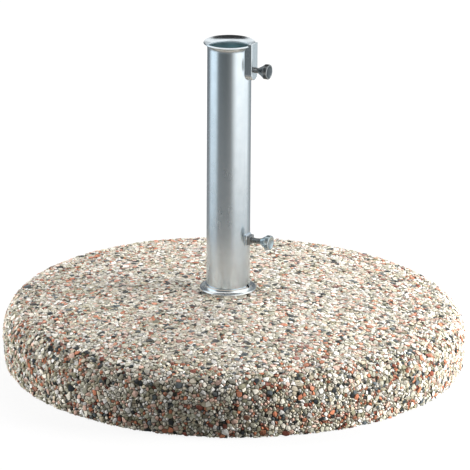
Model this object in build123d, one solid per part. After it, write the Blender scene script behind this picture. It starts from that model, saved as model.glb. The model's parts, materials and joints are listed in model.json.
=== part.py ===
from build123d import *
import os
from math import atan, cos, degrees, radians, sin, tan

# A parasol base: a heavy cast disc of exposed aggregate with a zinc-plated tube set upright in it.
# The pole drops into the tube and two knurled thumb screws clamp it.
# Millimetres, +Z up, origin on the ground under the tube's axis.

# Stone: a flat foot, a slightly bulging side, a soft shoulder and a low crown.
STONE_RADIUS = 250.0
STONE_HEIGHT = 78.5
FOOT_INSET = 2.0  # how far the foot's edge lies inside the widest line
SHOULDER_RUN = 26.0
SHOULDER_DROP = 31.0
CROWN_SLOPE = 8.0  # degrees, where the crown meets the shoulder

# Tube: plain wall, turned-out lip, closed by a disc welded under its foot.
TUBE_RADIUS = 23.5
TUBE_WALL = 1.5
TUBE_RISE = 276.0  # the lip above the stone's top
FOOT_COVER = 12.0  # concrete left under the disc
DISC_THICKNESS = 3.0
LIP_FLARE = 4.1  # how far the lip stands out from the tube
LIP_TURN = 70.0  # degrees the wall turns outwards
DRAIN_RADIUS = 2.1
DRAIN_RISE = 6.4  # above the stone's top

# Anchor bars: short rods welded round the foot of the tube.
ANCHOR_COUNT = 4
ANCHOR_RADIUS = 4.0
ANCHOR_LENGTH = 40.0
ANCHOR_RISE = 12.0  # above the tube's foot

# Nut pocket: a channel pressed out of the wall, open to the bore and at the lip.
SCREW_AZIMUTH = -27.0  # degrees from +X, for the pocket and both screws
POCKET_CLEAR = 1.7  # from the bore's wall to the nut
POCKET_SIDE = 0.75  # beside the nut, each side
POCKET_ROUND_RISE = 1.25  # from the nut's lower edge to where the foot starts to round
POCKET_ABOVE_LIP = 1.5
POCKET_DRAFT = 6.0  # degrees, each side wall
POCKET_EDGE = 1.2  # radius round the outer face

# Collar: a pressed ring round the tube where it leaves the stone.
COLLAR_FLANGE = 7.3  # how far it stands out from the tube
COLLAR_HEIGHT = 6.2
COLLAR_NECK = 1.1  # thickness at its top edge
COLLAR_RIM = 1.5  # radius of its rolled edge

# Thumb screws and their square nuts.
THREAD_RADIUS = 3.0
NUT_WIDTH = 10.0
NUT_HEIGHT = 5.0
UPPER_SCREW_DROP = 27.5  # below the lip
LOWER_SCREW_RISE = 59.2  # above the stone's top
UPPER_THREAD = 5.3  # thread in view between the pocket and the head
LOWER_THREAD = 10.65  # thread in view between the nut and the head
TIP_CLEAR = 0.3  # from the bore's wall to the upper screw's tip
STUB_RADIUS = 2.5
STUB_LENGTH = 8.0
HEAD_RADIUS = 8.0
HEAD_CONE = 6.5
HEAD_RIM = 5.5
HEAD_NECK_RADIUS = 3.6
HEAD_RECESS_RADIUS = 6.0
HEAD_RECESS_DEPTH = 1.0
HEAD_EDGE = 0.6
WELD_SPREAD = 1.6
WELD_HEIGHT = 2.2

# Clearances.
CAST_GAP = 0.15  # concrete to steel
SEAT_GAP = 0.05  # piece resting on or round another
RUNNING_GAP = 0.05  # radial, thread in nut and stub in head
HOLE_GAP = 0.3  # radial, screw through sheet
HEAD_GAP = 0.1  # between the shank's shoulder and the head

BORE_RADIUS = TUBE_RADIUS - TUBE_WALL
COLLAR_RADIUS = TUBE_RADIUS + COLLAR_FLANGE
LIP_Z = STONE_HEIGHT + TUBE_RISE
LIP_BEND = LIP_FLARE / (1 - cos(radians(LIP_TURN)))
LIP_START_Z = LIP_Z - (LIP_BEND + TUBE_WALL) * sin(radians(LIP_TURN))
POCKET_TOP_Z = LIP_Z + POCKET_ABOVE_LIP
TUBE_FOOT_Z = FOOT_COVER + DISC_THICKNESS
UPPER_SCREW_Z = LIP_Z - UPPER_SCREW_DROP
LOWER_SCREW_Z = STONE_HEIGHT + LOWER_SCREW_RISE
POCKET_ROUND_Z = UPPER_SCREW_Z - NUT_WIDTH / 2 + POCKET_ROUND_RISE
POCKET_WIDTH = NUT_WIDTH + 2 * (POCKET_SIDE + TUBE_WALL)
UPPER_NUT_SEAT = BORE_RADIUS + POCKET_CLEAR + NUT_HEIGHT  # distances from the tube's axis
POCKET_REACH = UPPER_NUT_SEAT + TUBE_WALL
UPPER_NECK = POCKET_REACH + UPPER_THREAD
LOWER_NUT_SEAT = TUBE_RADIUS + SEAT_GAP + NUT_HEIGHT
LOWER_NECK = LOWER_NUT_SEAT + LOWER_THREAD
SHANK_LENGTH = UPPER_NECK - BORE_RADIUS - TIP_CLEAR


def around(profile):
    """A solid of revolution about the tube's axis, from an outline of (radius, height)."""
    return revolve(Plane.XZ * make_face(profile), Axis.Z)


def rod(radius, low, high):
    """A plain upright rod."""
    return Pos(0, 0, low) * extrude(Circle(radius), high - low)


def outward(distance, height):
    """A plane square to the screws' direction: its x runs round the tube, its y up."""
    turn = radians(SCREW_AZIMUTH)
    return Plane(
        origin=(distance * cos(turn), distance * sin(turn), height),
        x_dir=(-sin(turn), cos(turn), 0),
        z_dir=(cos(turn), sin(turn), 0),
    )


def screwed(shape, height):
    """Turns a shape built along +Z from the tube's axis to point along a screw at a height."""
    return outward(0, height) * shape


def anchor_rods(clearance):
    """Plain rods where the anchor bars lie, starting inside the tube."""
    rod_length = TUBE_RADIUS + ANCHOR_LENGTH + clearance
    lying = Rot(0, 90, 0) * rod(ANCHOR_RADIUS + clearance, BORE_RADIUS / 2, rod_length)
    raised = Pos(0, 0, TUBE_FOOT_Z + ANCHOR_RISE) * lying
    return [Rot(0, 0, 360 / ANCHOR_COUNT * index) * raised for index in range(ANCHOR_COUNT)]


def stone_body():
    """The cast disc, with a well for the tube and a hole for each anchor bar."""
    slope = tan(radians(CROWN_SLOPE))
    end = atan(SHOULDER_DROP / (SHOULDER_RUN * slope))
    edge_radius = STONE_RADIUS - SHOULDER_RUN * (1 - cos(end))
    edge_z = STONE_HEIGHT - edge_radius * tan(radians(CROWN_SLOPE / 2))
    widest_z = edge_z - SHOULDER_DROP * sin(end)
    foot = (STONE_RADIUS - FOOT_INSET, 0)
    outline = Line((0, 0), foot)
    outline += TangentArc((STONE_RADIUS, widest_z), foot, tangent=(0, -1))
    outline += EllipticalCenterArc(
        (STONE_RADIUS - SHOULDER_RUN, widest_z),
        SHOULDER_RUN,
        SHOULDER_DROP,
        start_angle=0,
        arc_size=degrees(end),
    )
    outline += TangentArc((0, STONE_HEIGHT), (edge_radius, edge_z), tangent=(1, 0))
    outline += Line((0, STONE_HEIGHT), (0, 0))
    well = rod(TUBE_RADIUS + CAST_GAP, FOOT_COVER - CAST_GAP, STONE_HEIGHT + 1)
    body = around(outline) - well
    for hole in anchor_rods(CAST_GAP):
        body -= hole
    return body


def pocket(shrink):
    """The pocket as a solid block, or its hollow when it is shrunk by the wall."""
    half = POCKET_WIDTH / 2 - shrink
    reach = POCKET_REACH - shrink
    spread = half + (reach - BORE_RADIUS / 2) * tan(radians(POCKET_DRAFT))
    rise = POCKET_TOP_Z - POCKET_ROUND_Z + (1 if shrink else 0)

    def outline(width):
        edge = Line((-width, rise), (-width, 0))
        edge += ThreePointArc((-width, 0), (0, -width), (width, 0))
        edge += Line((width, 0), (width, rise))
        edge += Line((width, rise), (-width, rise))
        return make_face(edge)

    near = outward(BORE_RADIUS / 2, POCKET_ROUND_Z) * outline(spread)
    far = outward(reach, POCKET_ROUND_Z) * outline(half)
    block = loft([near, far], ruled=True)
    face = block.faces().sort_by(Axis((0, 0, 0), outward(0, 0).z_dir))[-1]
    edges = face.edges().filter_by(lambda e: e.center().Z < POCKET_TOP_Z - 0.5)
    return fillet(edges, POCKET_EDGE if not shrink else POCKET_EDGE / 3)


def tube():
    """The tube with its lip, nut pocket, screw holes and drain hole."""
    turn = radians(LIP_TURN)
    centre = (TUBE_RADIUS + LIP_BEND, LIP_START_Z)

    def lip_point(bend, angle):
        return (centre[0] - bend * cos(angle), centre[1] + bend * sin(angle))

    outer = [lip_point(LIP_BEND, step * turn / 2) for step in range(3)]
    inner = [lip_point(LIP_BEND + TUBE_WALL, step * turn / 2) for step in range(3)]
    skin = Line((0, TUBE_FOOT_Z), (TUBE_RADIUS, TUBE_FOOT_Z))
    skin += Line((TUBE_RADIUS, TUBE_FOOT_Z), outer[0])
    skin += ThreePointArc(*outer)
    skin += Line(outer[2], inner[2])
    skin += Line(inner[2], (0, inner[2][1]))
    skin += Line((0, inner[2][1]), (0, TUBE_FOOT_Z))
    hollow = Line((0, TUBE_FOOT_Z - 1), (BORE_RADIUS, TUBE_FOOT_Z - 1))
    hollow += Line((BORE_RADIUS, TUBE_FOOT_Z - 1), inner[0])
    hollow += ThreePointArc(*inner)
    hollow += Line(inner[2], (inner[2][0], POCKET_TOP_Z + 1))
    hollow += Line((inner[2][0], POCKET_TOP_Z + 1), (0, POCKET_TOP_Z + 1))
    hollow += Line((0, POCKET_TOP_Z + 1), (0, TUBE_FOOT_Z - 1))
    body = around(skin) + pocket(0) - around(hollow) - pocket(TUBE_WALL)
    screw_hole = rod(THREAD_RADIUS + HOLE_GAP, BORE_RADIUS / 2, POCKET_REACH + 1)
    body -= screwed(screw_hole, UPPER_SCREW_Z)
    body -= screwed(screw_hole, LOWER_SCREW_Z)
    return body - drain()


def drain():
    """The drain hole, drilled through the collar's neck and the tube's wall."""
    return screwed(rod(DRAIN_RADIUS, BORE_RADIUS / 2, COLLAR_RADIUS + 1), STONE_HEIGHT + DRAIN_RISE)


def foot_collar():
    """The ring at the tube's foot: a hollowed cone that ends in a rolled edge."""
    bore = TUBE_RADIUS + SEAT_GAP
    low = STONE_HEIGHT + SEAT_GAP
    top = low + COLLAR_HEIGHT
    valley = COLLAR_RADIUS - 2 * COLLAR_RIM
    valley_z = low + COLLAR_RIM
    outline = Line((bore, low), (COLLAR_RADIUS - COLLAR_RIM, low))
    outline += ThreePointArc(
        (COLLAR_RADIUS - COLLAR_RIM, low),
        (COLLAR_RADIUS, low + COLLAR_RIM),
        (COLLAR_RADIUS - COLLAR_RIM, low + 2 * COLLAR_RIM),
    )
    outline += ThreePointArc(
        (COLLAR_RADIUS - COLLAR_RIM, low + 2 * COLLAR_RIM),
        (valley + COLLAR_RIM * (1 - cos(radians(45))), valley_z + COLLAR_RIM * sin(radians(45))),
        (valley, valley_z),
    )
    outline += TangentArc((valley, valley_z), (bore + COLLAR_NECK, top), tangent=(-1, 0.35))
    outline += Line((bore + COLLAR_NECK, top), (bore, top))
    outline += Line((bore, top), (bore, low))
    return around(outline) - drain()


def foot_disc():
    """The disc that closes the tube's foot and stops the pole."""
    return rod(TUBE_RADIUS, FOOT_COVER, TUBE_FOOT_Z)


def anchor_bars():
    """The anchor bars, each cut to the tube's round wall."""
    wall = rod(TUBE_RADIUS + SEAT_GAP, 0, LIP_Z)
    return Compound([bar - wall for bar in anchor_rods(0)])


def square_nut(seat, height):
    """A square nut whose outer face lies at a distance from the tube's axis."""
    blank = Pos(0, 0, seat - NUT_HEIGHT) * extrude(Rectangle(NUT_WIDTH, NUT_WIDTH), NUT_HEIGHT)
    thread = rod(THREAD_RADIUS + RUNNING_GAP, seat - NUT_HEIGHT - 1, seat + 1)
    return screwed(blank - thread, height)


def lower_nut_weld():
    """The weld bead round the lower nut, fitted to the tube's round wall."""
    low = TUBE_RADIUS - TUBE_WALL
    high = TUBE_RADIUS + SEAT_GAP + WELD_HEIGHT
    foot = RectangleRounded(NUT_WIDTH + 2 * WELD_SPREAD, NUT_WIDTH + 2 * WELD_SPREAD, WELD_SPREAD)
    head = RectangleRounded(NUT_WIDTH + WELD_SPREAD / 2, NUT_WIDTH + WELD_SPREAD / 2, WELD_SPREAD / 4)
    bead = loft([Pos(0, 0, low) * foot, Pos(0, 0, high) * head], ruled=True)
    bead -= Pos(0, 0, low - 1) * extrude(Rectangle(NUT_WIDTH, NUT_WIDTH), high - low + 2)
    return screwed(bead, LOWER_SCREW_Z) - rod(TUBE_RADIUS + SEAT_GAP, 0, LIP_Z)


def screw_shank(neck, height):
    """The threaded shank, with the stub that its head turns on."""
    thread = rod(THREAD_RADIUS, neck - SHANK_LENGTH, neck - HEAD_GAP)
    stub = rod(STUB_RADIUS, neck - HEAD_GAP, neck + STUB_LENGTH)
    return screwed(thread + stub, height)


def screw_head(neck, height):
    """The thumb screw's head: a cone behind a thick rim with a shallow recess in its face."""
    rim = neck + HEAD_CONE
    face = rim + HEAD_RIM
    outline = Line((0, neck), (HEAD_NECK_RADIUS, neck))
    outline += Line((HEAD_NECK_RADIUS, neck), (HEAD_RADIUS - HEAD_EDGE, rim))
    outline += Line((HEAD_RADIUS - HEAD_EDGE, rim), (HEAD_RADIUS, rim + HEAD_EDGE))
    outline += Line((HEAD_RADIUS, rim + HEAD_EDGE), (HEAD_RADIUS, face - HEAD_EDGE))
    outline += Line((HEAD_RADIUS, face - HEAD_EDGE), (HEAD_RADIUS - HEAD_EDGE, face))
    outline += Line((HEAD_RADIUS - HEAD_EDGE, face), (HEAD_RECESS_RADIUS, face))
    dish = (0, face - HEAD_RECESS_DEPTH)
    outline += TangentArc(dish, (HEAD_RECESS_RADIUS, face), tangent=(1, 0))
    outline += Line(dish, (0, neck))
    socket = rod(STUB_RADIUS + RUNNING_GAP, neck - 1, neck + STUB_LENGTH + HEAD_GAP)
    return screwed(around(outline) - socket, height)


def pieces():
    """Every node's name and its solid."""
    return {
        "stone_body": stone_body(),
        "tube": tube(),
        "foot_collar": foot_collar(),
        "foot_disc": foot_disc(),
        "anchor_bars": anchor_bars(),
        "upper_nut": square_nut(UPPER_NUT_SEAT, UPPER_SCREW_Z),
        "lower_nut": square_nut(LOWER_NUT_SEAT, LOWER_SCREW_Z),
        "lower_nut_weld": lower_nut_weld(),
        "upper_screw_shank": screw_shank(UPPER_NECK, UPPER_SCREW_Z),
        "upper_screw_head": screw_head(UPPER_NECK, UPPER_SCREW_Z),
        "lower_screw_shank": screw_shank(LOWER_NECK, LOWER_SCREW_Z),
        "lower_screw_head": screw_head(LOWER_NECK, LOWER_SCREW_Z),
    }


os.makedirs("parts", exist_ok=True)
for name, piece in pieces().items():
    export_step(piece, f"parts/{name}.step")
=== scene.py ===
"""Looks for a parasol base: a washed aggregate stone, a zinc-plated tube and two thumb screws.

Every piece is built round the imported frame: metres, +Z up, the tube's axis on Z, the ground at zero.
"""

from __future__ import annotations

import json
import logging
import math
from dataclasses import dataclass, field
from enum import Enum
from typing import Any, ClassVar, Sequence

import bmesh
import bpy
import numpy as np
from mathutils import Matrix, Vector, geometry

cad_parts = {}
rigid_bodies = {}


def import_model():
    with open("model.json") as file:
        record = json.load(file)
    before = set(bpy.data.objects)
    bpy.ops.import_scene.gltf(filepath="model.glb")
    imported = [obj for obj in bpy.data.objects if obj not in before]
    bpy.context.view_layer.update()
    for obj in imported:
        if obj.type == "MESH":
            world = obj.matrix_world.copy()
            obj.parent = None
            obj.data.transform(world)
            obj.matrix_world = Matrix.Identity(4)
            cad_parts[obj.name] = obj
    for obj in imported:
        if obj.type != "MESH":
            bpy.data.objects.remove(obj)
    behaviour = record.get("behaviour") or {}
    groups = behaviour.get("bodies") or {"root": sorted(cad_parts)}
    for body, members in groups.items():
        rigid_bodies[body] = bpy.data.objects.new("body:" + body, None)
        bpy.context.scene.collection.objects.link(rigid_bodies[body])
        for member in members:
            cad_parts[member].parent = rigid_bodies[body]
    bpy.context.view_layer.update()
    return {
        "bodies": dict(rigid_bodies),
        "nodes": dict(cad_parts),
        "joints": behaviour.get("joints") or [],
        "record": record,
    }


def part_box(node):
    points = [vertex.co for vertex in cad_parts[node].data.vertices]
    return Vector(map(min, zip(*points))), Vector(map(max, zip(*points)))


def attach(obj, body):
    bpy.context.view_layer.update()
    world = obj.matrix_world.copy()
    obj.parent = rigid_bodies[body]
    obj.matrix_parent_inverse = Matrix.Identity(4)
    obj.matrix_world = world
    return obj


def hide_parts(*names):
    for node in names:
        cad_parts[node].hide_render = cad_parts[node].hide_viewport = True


LOG = logging.getLogger("parasol_base")
Colour = tuple[float, float, float]


# ---- Named choices -------------------------------------------------------------------------------


class Slot(Enum):
    """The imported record's material slots."""

    AGGREGATE = "aggregate_concrete"
    TUBE = "zinc_tube"
    COLLAR = "zinc_collar"
    SCREW = "zinc_screw"
    # A darker copy of the screw zinc: painted shade for the darker reflections of the upper head and the
    # shanks.
    HANDLED = "zinc_screw:handled"
    NUT = "nut_steel"
    BLACK = "black_steel"

    @property
    def packed(self) -> str:
        """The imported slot's own name, without the finish's."""
        return self.value.split(":")[0]


class Place(Enum):
    """Where a thumb screw sits on the tube; the value begins its nodes' and bodies' names."""

    UPPER = "upper"
    LOWER = "lower"


class Grain(Enum):
    """The kinds of chipping in the mix: share of the grains, share of the largest chips, colour."""

    CREAM = (0.25, 0.17, (0.75, 0.71, 0.61))
    WHITE = (0.17, 0.09, (0.86, 0.845, 0.81))
    SAND = (0.12, 0.12, (0.56, 0.49, 0.36))
    GREY_BEIGE = (0.13, 0.14, (0.50, 0.49, 0.39))
    OLIVE = (0.06, 0.05, (0.28, 0.265, 0.18))
    PINK = (0.10, 0.09, (0.70, 0.47, 0.38))
    TERRACOTTA = (0.075, 0.09, (0.53, 0.20, 0.11))
    RED_BROWN = (0.025, 0.08, (0.24, 0.07, 0.045))
    SLATE = (0.04, 0.10, (0.10, 0.12, 0.13))
    CHARCOAL = (0.04, 0.15, (0.025, 0.03, 0.035))

    @property
    def share(self) -> float:
        """Share among the ordinary grains."""
        return self.value[0]

    @property
    def chip_share(self) -> float:
        """Share among the largest chips."""
        return self.value[1]

    @property
    def colour(self) -> Colour:
        """The colour of the wet-cut stone."""
        return self.value[2]


# ---- Mesh helpers --------------------------------------------------------------------------------


def mesh_piece(
    name: str, points: np.ndarray, faces: Sequence[np.ndarray], smooth: bool = True
) -> bpy.types.Object:
    """Makes a mesh object from arrays.

    Args:
        name: The piece's name.
        points: Vertex positions, one row each.
        faces: Arrays of vertex indices, one array for each number of corners.
        smooth: Whether its faces shade smoothly.

    Returns:
        The new object, linked to the scene.
    """
    mesh = bpy.data.meshes.new(name)
    corners = np.concatenate([f.ravel() for f in faces]).astype(np.int32)
    counts = np.concatenate([np.full(len(f), f.shape[1], np.int32) for f in faces])
    mesh.vertices.add(len(points))
    mesh.vertices.foreach_set("co", np.asarray(points, np.float32).ravel())
    mesh.loops.add(len(corners))
    mesh.loops.foreach_set("vertex_index", corners)
    mesh.polygons.add(len(counts))
    starts = np.concatenate([[0], np.cumsum(counts)[:-1]]).astype(np.int32)
    mesh.polygons.foreach_set("loop_start", starts)
    mesh.update(calc_edges=True)
    mesh.validate()
    mesh.shade_smooth() if smooth else mesh.shade_flat()
    piece = bpy.data.objects.new(name, mesh)
    bpy.context.scene.collection.objects.link(piece)
    return piece


def lofted(rings: np.ndarray, closed: bool) -> np.ndarray:
    """Quads between successive rings of points.

    Args:
        rings: Points as (ring, point, xyz); every ring has the same number of points.
        closed: Whether the last ring joins the first, as in a hollow ring-shaped piece.

    Returns:
        The quads' vertex indices, for the rings laid out one after another.
    """
    count, size = rings.shape[:2]
    rows = np.arange(count if closed else count - 1)
    here, there = np.meshgrid(rows, np.arange(size), indexing="ij")
    after, beside = (here + 1) % count, (there + 1) % size
    quads = [here * size + there, here * size + beside, after * size + beside, after * size + there]
    return np.stack(quads, axis=-1).reshape(-1, 4)


def sharpen(piece: bpy.types.Object, degrees: float) -> None:
    """Keeps edges crisp where faces meet at more than an angle.

    Args:
        piece: The mesh object.
        degrees: The angle from which an edge is crisp.
    """
    piece.data.set_sharp_from_angle(angle=math.radians(degrees))


def face_outwards(piece: bpy.types.Object, weld: float = 0.0) -> None:
    """Turns every face of a closed piece outwards.

    Args:
        piece: The mesh object.
        weld: The distance within which points are first joined; none are at zero.
    """
    bm = bmesh.new()
    bm.from_mesh(piece.data)
    if weld:
        bmesh.ops.remove_doubles(bm, verts=bm.verts[:], dist=weld)
    bmesh.ops.recalc_face_normals(bm, faces=bm.faces[:])
    bm.to_mesh(piece.data)
    bm.free()


def turns(count: int, shift: float = 0.0) -> np.ndarray:
    """Evenly spaced angles round a circle.

    Args:
        count: How many.
        shift: The share of a step that the first is moved on by.

    Returns:
        The angles in radians.
    """
    return (np.arange(count) + shift) * 2 * math.pi / count


def on_disc(spread: np.ndarray | float, turn: np.ndarray) -> np.ndarray:
    """Points of a flat disc.

    Args:
        spread: Their distances from its middle.
        turn: Their angles.

    Returns:
        The points, one row each.
    """
    return np.stack([spread * np.cos(turn), spread * np.sin(turn)], 1)


# ---- Node helpers --------------------------------------------------------------------------------


class NodeSheet:
    """A node tree with short calls for placing and joining nodes."""

    def __init__(self, tree: bpy.types.NodeTree) -> None:
        """Starts with an empty tree."""
        self.tree = tree
        tree.nodes.clear()

    def add(self, kind: str, settings: dict[str, Any] | None = None, **inputs: Any) -> bpy.types.Node:
        """Places a node.

        Args:
            kind: The node's type without its "ShaderNode" beginning.
            settings: Its properties.
            **inputs: Its sockets by name, with "_" for a space; a socket is joined, a value is set.

        Returns:
            The new node.
        """
        node = self.tree.nodes.new("ShaderNode" + kind)
        for name, value in (settings or {}).items():
            setattr(node, name, value)
        for name, value in inputs.items():
            self.feed(node.inputs[name.replace("_", " ")], value)
        return node

    def feed(self, socket: bpy.types.NodeSocket, value: Any) -> None:
        """Joins a socket to another one, or sets its value."""
        if isinstance(value, bpy.types.NodeSocket):
            self.tree.links.new(value, socket)
        else:
            socket.default_value = (*value, 1.0) if socket.type == "RGBA" and len(value) == 3 else value

    def math(
        self, operation: str, first: Any, second: Any = 0.0, clamp: bool = False
    ) -> bpy.types.NodeSocket:
        """A sum of two values.

        Args:
            operation: The Math node's operation.
            first: A socket or a number.
            second: A socket or a number.
            clamp: Whether the result is kept from 0 to 1.

        Returns:
            The result's socket.
        """
        node = self.add("Math", {"operation": operation, "use_clamp": clamp})
        self.feed(node.inputs[0], first)
        self.feed(node.inputs[1], second)
        return node.outputs[0]

    def vector(self, operation: str, first: Any, second: Any = None) -> bpy.types.NodeSocket:
        """A sum of vectors.

        Args:
            operation: The Vector Math node's operation.
            first: A socket or a vector.
            second: A socket, a vector, or the scale when scaling.

        Returns:
            The result's socket.
        """
        node = self.add("VectorMath", {"operation": operation})
        self.feed(node.inputs[0], first)
        if second is not None:
            self.feed(node.inputs["Scale" if operation == "SCALE" else 1], second)
        return node.outputs["Value" if operation == "LENGTH" else "Vector"]

    def spread(
        self, value: Any, low: Any, high: Any, to_low: float = 0.0, to_high: float = 1.0
    ) -> bpy.types.NodeSocket:
        """Stretches a value's range, clamped.

        Args:
            value: A socket.
            low: The value that becomes to_low.
            high: The value that becomes to_high.
            to_low: The result at low.
            to_high: The result at high.

        Returns:
            The result's socket.
        """
        node = self.add("MapRange", {"clamp": True}, Value=value, To_Min=to_low, To_Max=to_high)
        self.feed(node.inputs["From Min"], low)
        self.feed(node.inputs["From Max"], high)
        return node.outputs[0]

    def blend(self, mask: Any, first: Any, second: Any, way: str = "MIX") -> bpy.types.NodeSocket:
        """Mixes two colours by a mask.

        Args:
            mask: How far the second colour shows.
            first: A colour or a socket.
            second: A colour or a socket.
            way: The Mix node's blend type.

        Returns:
            The mixed colour's socket.
        """
        node = self.add("Mix", {"data_type": "RGBA", "blend_type": way, "clamp_factor": True})
        for index, value in ((0, mask), (6, first), (7, second)):
            self.feed(node.inputs[index], value)
        return node.outputs[2]

    def noise(
        self, where: Any, scale: Any, detail: float = 2.0, roughness: float = 0.5
    ) -> bpy.types.NodeSocket:
        """A cloudy value.

        Args:
            where: The place's socket.
            scale: How fine it is.
            detail: Its finer layers.
            roughness: How much they count.

        Returns:
            The socket of a value from 0 to 1.
        """
        values = {"Vector": where, "Scale": scale, "Detail": detail, "Roughness": roughness}
        return self.add("TexNoise", None, **values).outputs[0]


class Effects:
    """Effects that several finishes share, each a node group built once."""

    def __init__(self) -> None:
        """Builds every group."""
        self.bloom = self._bloom()
        self.drawing_lines = self._drawing_lines()
        self.worn_edges = self._worn_edges()
        self.dust = self._dust()

    @staticmethod
    def _group(
        name: str, inputs: dict[str, tuple[str, Any]], outputs: dict[str, str]
    ) -> tuple[NodeSheet, Any, Any]:
        """Starts a node group.

        Args:
            name: The group's name.
            inputs: Socket types and first values by name.
            outputs: Socket types by name.

        Returns:
            The group's sheet, what it is given and what it results in.
        """
        tree = bpy.data.node_groups.new(name, "ShaderNodeTree")
        for label, (kind, value) in inputs.items():
            socket = tree.interface.new_socket(name=label, in_out="INPUT", socket_type="NodeSocket" + kind)
            if value is not None:
                socket.default_value = value
        for label, kind in outputs.items():
            tree.interface.new_socket(name=label, in_out="OUTPUT", socket_type="NodeSocket" + kind)
        sheet = NodeSheet(tree)
        entry, leave = tree.nodes.new("NodeGroupInput"), tree.nodes.new("NodeGroupOutput")
        return sheet, entry.outputs, leave.inputs

    def _bloom(self) -> bpy.types.NodeTree:
        """Cloudy patches with small spots in them, as on plating that has been handled."""
        inputs = {"Place": ("Vector", None), "Patch Scale": ("Float", 30.0), "Spot Scale": ("Float", 400.0)}
        sheet, given, result = self._group("Plating bloom", inputs, {"Patches": "Float", "Spots": "Float"})
        patches = sheet.noise(given["Place"], given["Patch Scale"], 3.0, 0.6)
        spots = sheet.noise(given["Place"], given["Spot Scale"], 2.0, 0.7)
        sheet.feed(result["Patches"], sheet.spread(patches, 0.35, 0.65))
        sheet.feed(result["Spots"], sheet.spread(spots, 0.55, 0.75))
        return sheet.tree

    def _drawing_lines(self) -> bpy.types.NodeTree:
        """Fine lines along a piece, left by drawing or rolling the steel."""
        along_z = ("Vector", (1.0, 1.0, 0.03))
        inputs = {"Place": ("Vector", None), "Stretch": along_z, "Scale": ("Float", 900.0)}
        results = {"Height": "Float", "Broad": "Float"}
        sheet, given, result = self._group("Drawing lines", inputs, results)
        drawn = sheet.vector("MULTIPLY", given["Place"], given["Stretch"])
        fine = sheet.noise(drawn, given["Scale"], 3.0, 0.6)
        broad = sheet.noise(drawn, sheet.math("MULTIPLY", given["Scale"], 0.22), 2.0, 0.5)
        sheet.feed(result["Height"], fine)
        sheet.feed(result["Broad"], sheet.spread(broad, 0.3, 0.7))
        return sheet.tree

    def _worn_edges(self) -> bpy.types.NodeTree:
        """A mask of the edges that hands and tools rub bright."""
        inputs = {"Place": ("Vector", None), "Reach": ("Float", 0.06), "Break Up": ("Float", 160.0)}
        sheet, given, result = self._group("Worn edges", inputs, {"Mask": "Float"})
        shape = sheet.add("NewGeometry").outputs["Pointiness"]
        high = sheet.math("ADD", 0.5, given["Reach"])
        edges = sheet.spread(shape, 0.505, high)
        broken = sheet.noise(given["Place"], given["Break Up"])
        sheet.feed(result["Mask"], sheet.math("MULTIPLY", edges, broken))
        return sheet.tree

    def _dust(self) -> bpy.types.NodeTree:
        """A mask of the dust that settles on what faces up."""
        inputs = {"Place": ("Vector", None), "Amount": ("Float", 0.5), "Scale": ("Float", 60.0)}
        sheet, given, result = self._group("Settled dust", inputs, {"Mask": "Float"})
        split = sheet.add("SeparateXYZ", None, Vector=sheet.add("NewGeometry").outputs["Normal"])
        level = sheet.spread(split.outputs["Z"], 0.3, 1.0)
        patchy = sheet.spread(sheet.noise(given["Place"], given["Scale"], 4.0, 0.65), 0.4, 0.7)
        mask = sheet.math("MULTIPLY", sheet.math("MULTIPLY", level, patchy), given["Amount"])
        sheet.feed(result["Mask"], mask)
        return sheet.tree

def fill_ramp(ramp: bpy.types.ColorRamp, stops: Sequence[tuple[float, Colour]]) -> None:
    """Sets a colour ramp's stops.

    Args:
        ramp: The ramp, as new.
        stops: A place from 0 to 1 and a colour for each.
    """
    while len(ramp.elements) < len(stops):
        ramp.elements.new(1.0)
    for element, (place, colour) in zip(ramp.elements, stops):
        element.position = place
        element.color = (*colour, 1.0)
@dataclass(frozen=True)
class Workshop:
    """What every finish needs to make its material."""

    effects: Effects

    def start(self, name: str) -> tuple[bpy.types.Material, NodeSheet, bpy.types.Node, bpy.types.NodeSocket]:
        """Starts a material.

        Args:
            name: The material's name.

        Returns:
            The material, its sheet, its Principled shader and the piece's own coordinates.
        """
        material = bpy.data.materials.new(name)
        material.use_nodes = True
        sheet = NodeSheet(material.node_tree)
        shader = sheet.add("BsdfPrincipled")
        sheet.add("OutputMaterial", None, Surface=shader.outputs[0])
        return material, sheet, shader, sheet.add("TexCoord").outputs["Object"]

    @staticmethod
    def place(sheet: NodeSheet, group: bpy.types.NodeTree, **inputs: Any) -> Any:
        """Places one of the shared groups.

        Args:
            sheet: The material's nodes.
            group: The group.
            **inputs: Its sockets by name, as in NodeSheet.add.

        Returns:
            Its results by name.
        """
        node = sheet.tree.nodes.new("ShaderNodeGroup")
        node.node_tree = group
        for name, value in inputs.items():
            sheet.feed(node.inputs[name.replace("_", " ")], value)
        return node.outputs


# ---- Finishes ------------------------------------------------------------------------------------


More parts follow.
